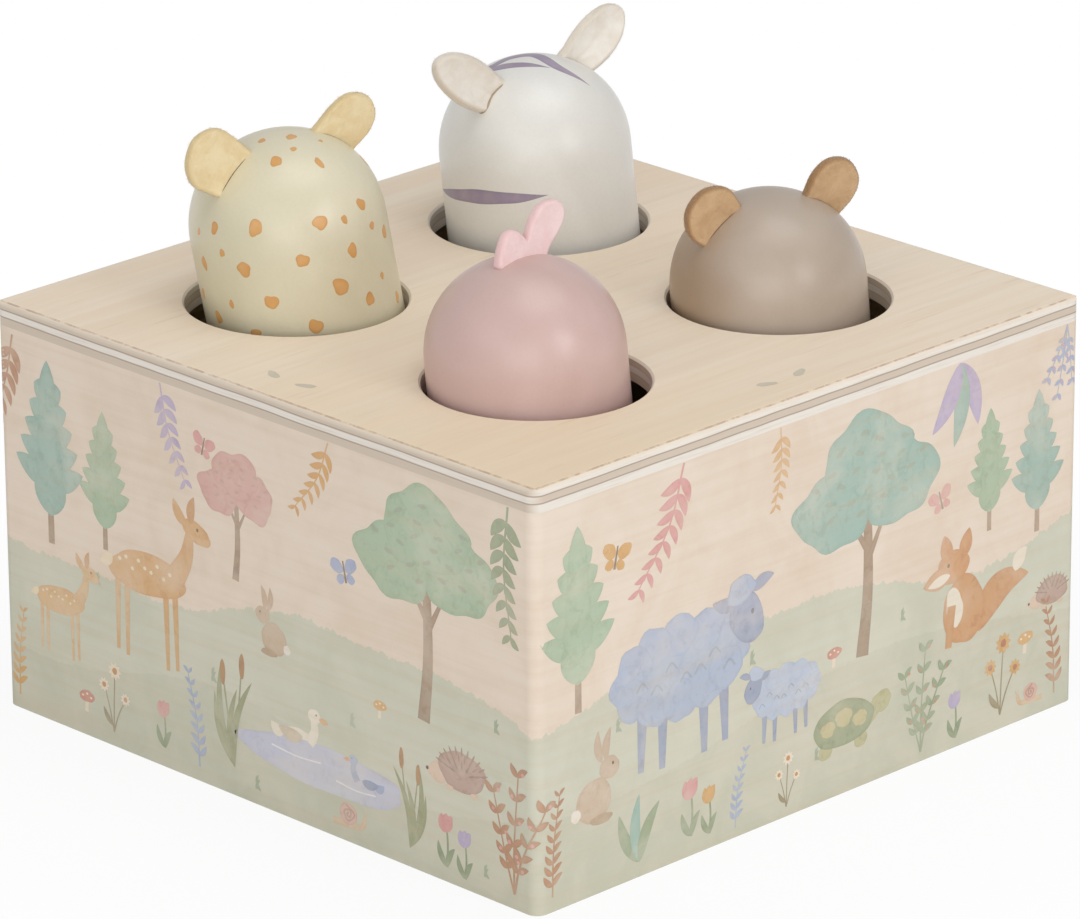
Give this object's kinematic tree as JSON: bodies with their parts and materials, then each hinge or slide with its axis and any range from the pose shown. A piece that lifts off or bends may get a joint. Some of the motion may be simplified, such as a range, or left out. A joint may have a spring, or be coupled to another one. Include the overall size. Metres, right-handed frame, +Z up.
{
  "type": "pop up animal toy",
  "caption": "Plywood box toy with leaning domed animal pegs in round holes; each stands on a coil spring, is pushed down along its axis and pops back up.",
  "frame": {"origin": "centre of the box's underside, on the surface it stands on", "axes": "+Z up; -Y is the front wall and +X the right wall, the two that the picture shows"},
  "size_m": [0.15, 0.15, 0.1268],
  "materials": {
    "birch_plywood": "sanded three-ply birch, clear matt lacquer",
    "printed_panel": "printed wood panel, matt",
    "plain_wood": "sanded, raw",
    "leopard_paint": "turned wood, satin paint with spots",
    "zebra_paint": "turned wood, satin paint with stripes",
    "bird_paint": "turned wood, satin paint",
    "bear_paint": "turned wood, satin paint",
    "yellow_felt": "felt",
    "cream_felt": "felt",
    "tan_felt": "felt",
    "pink_felt": "felt",
    "spring_steel": "drawn spring wire",
    "screw_steel": "zinc plated"
  },
  "bodies": {
    "box": {"top_panel": "birch_plywood", "wall_left": "printed_panel", "wall_right": "printed_panel", "wall_front": "printed_panel", "wall_back": "printed_panel", "base_panel": "plain_wood", "corner_block_front_left": "plain_wood", "corner_block_front_right": "plain_wood", "corner_block_back_right": "plain_wood", "corner_block_back_left": "plain_wood", "base_screws": "screw_steel", "spring_post_leopard": "plain_wood", "spring_post_zebra": "plain_wood", "spring_post_bird": "plain_wood", "spring_post_bear": "plain_wood", "spring_leopard": "spring_steel", "spring_zebra": "spring_steel", "spring_bird": "spring_steel", "spring_bear": "spring_steel"},
    "leopard": {"peg_leopard": "leopard_paint", "leopard_ear_left": "yellow_felt", "leopard_ear_right": "yellow_felt"},
    "zebra": {"peg_zebra": "zebra_paint", "zebra_ear_left": "cream_felt", "zebra_ear_right": "cream_felt"},
    "bird": {"peg_bird": "bird_paint", "bird_crest": "pink_felt"},
    "bear": {"peg_bear": "bear_paint", "bear_ear_left": "tan_felt", "bear_ear_right": "tan_felt"}
  },
  "joints": [
    {"name": "leopard_push", "type": "slide", "parent": "box", "child": "leopard", "axis": [-0.088, -0.1404, 0.9862], "range_m": [-0.029, 0.003], "stiffness_N_per_m": 300, "springref_m": 0.00109, "deforming": ["spring_leopard"]},
    {"name": "zebra_push", "type": "slide", "parent": "box", "child": "zebra", "axis": [-0.0644, -0.0644, 0.9958], "range_m": [-0.029, 0.003], "stiffness_N_per_m": 300, "springref_m": 0.00109, "deforming": ["spring_zebra"]},
    {"name": "bird_push", "type": "slide", "parent": "box", "child": "bird", "axis": [-0.0767, -0.04, 0.9963], "range_m": [-0.022, 0.003], "stiffness_N_per_m": 300, "springref_m": 0.00086, "deforming": ["spring_bird"]},
    {"name": "bear_push", "type": "slide", "parent": "box", "child": "bear", "axis": [-0.068, -0.0383, 0.997], "range_m": [-0.02, 0.003], "stiffness_N_per_m": 300, "springref_m": 0.0008, "deforming": ["spring_bear"]}
  ]
}
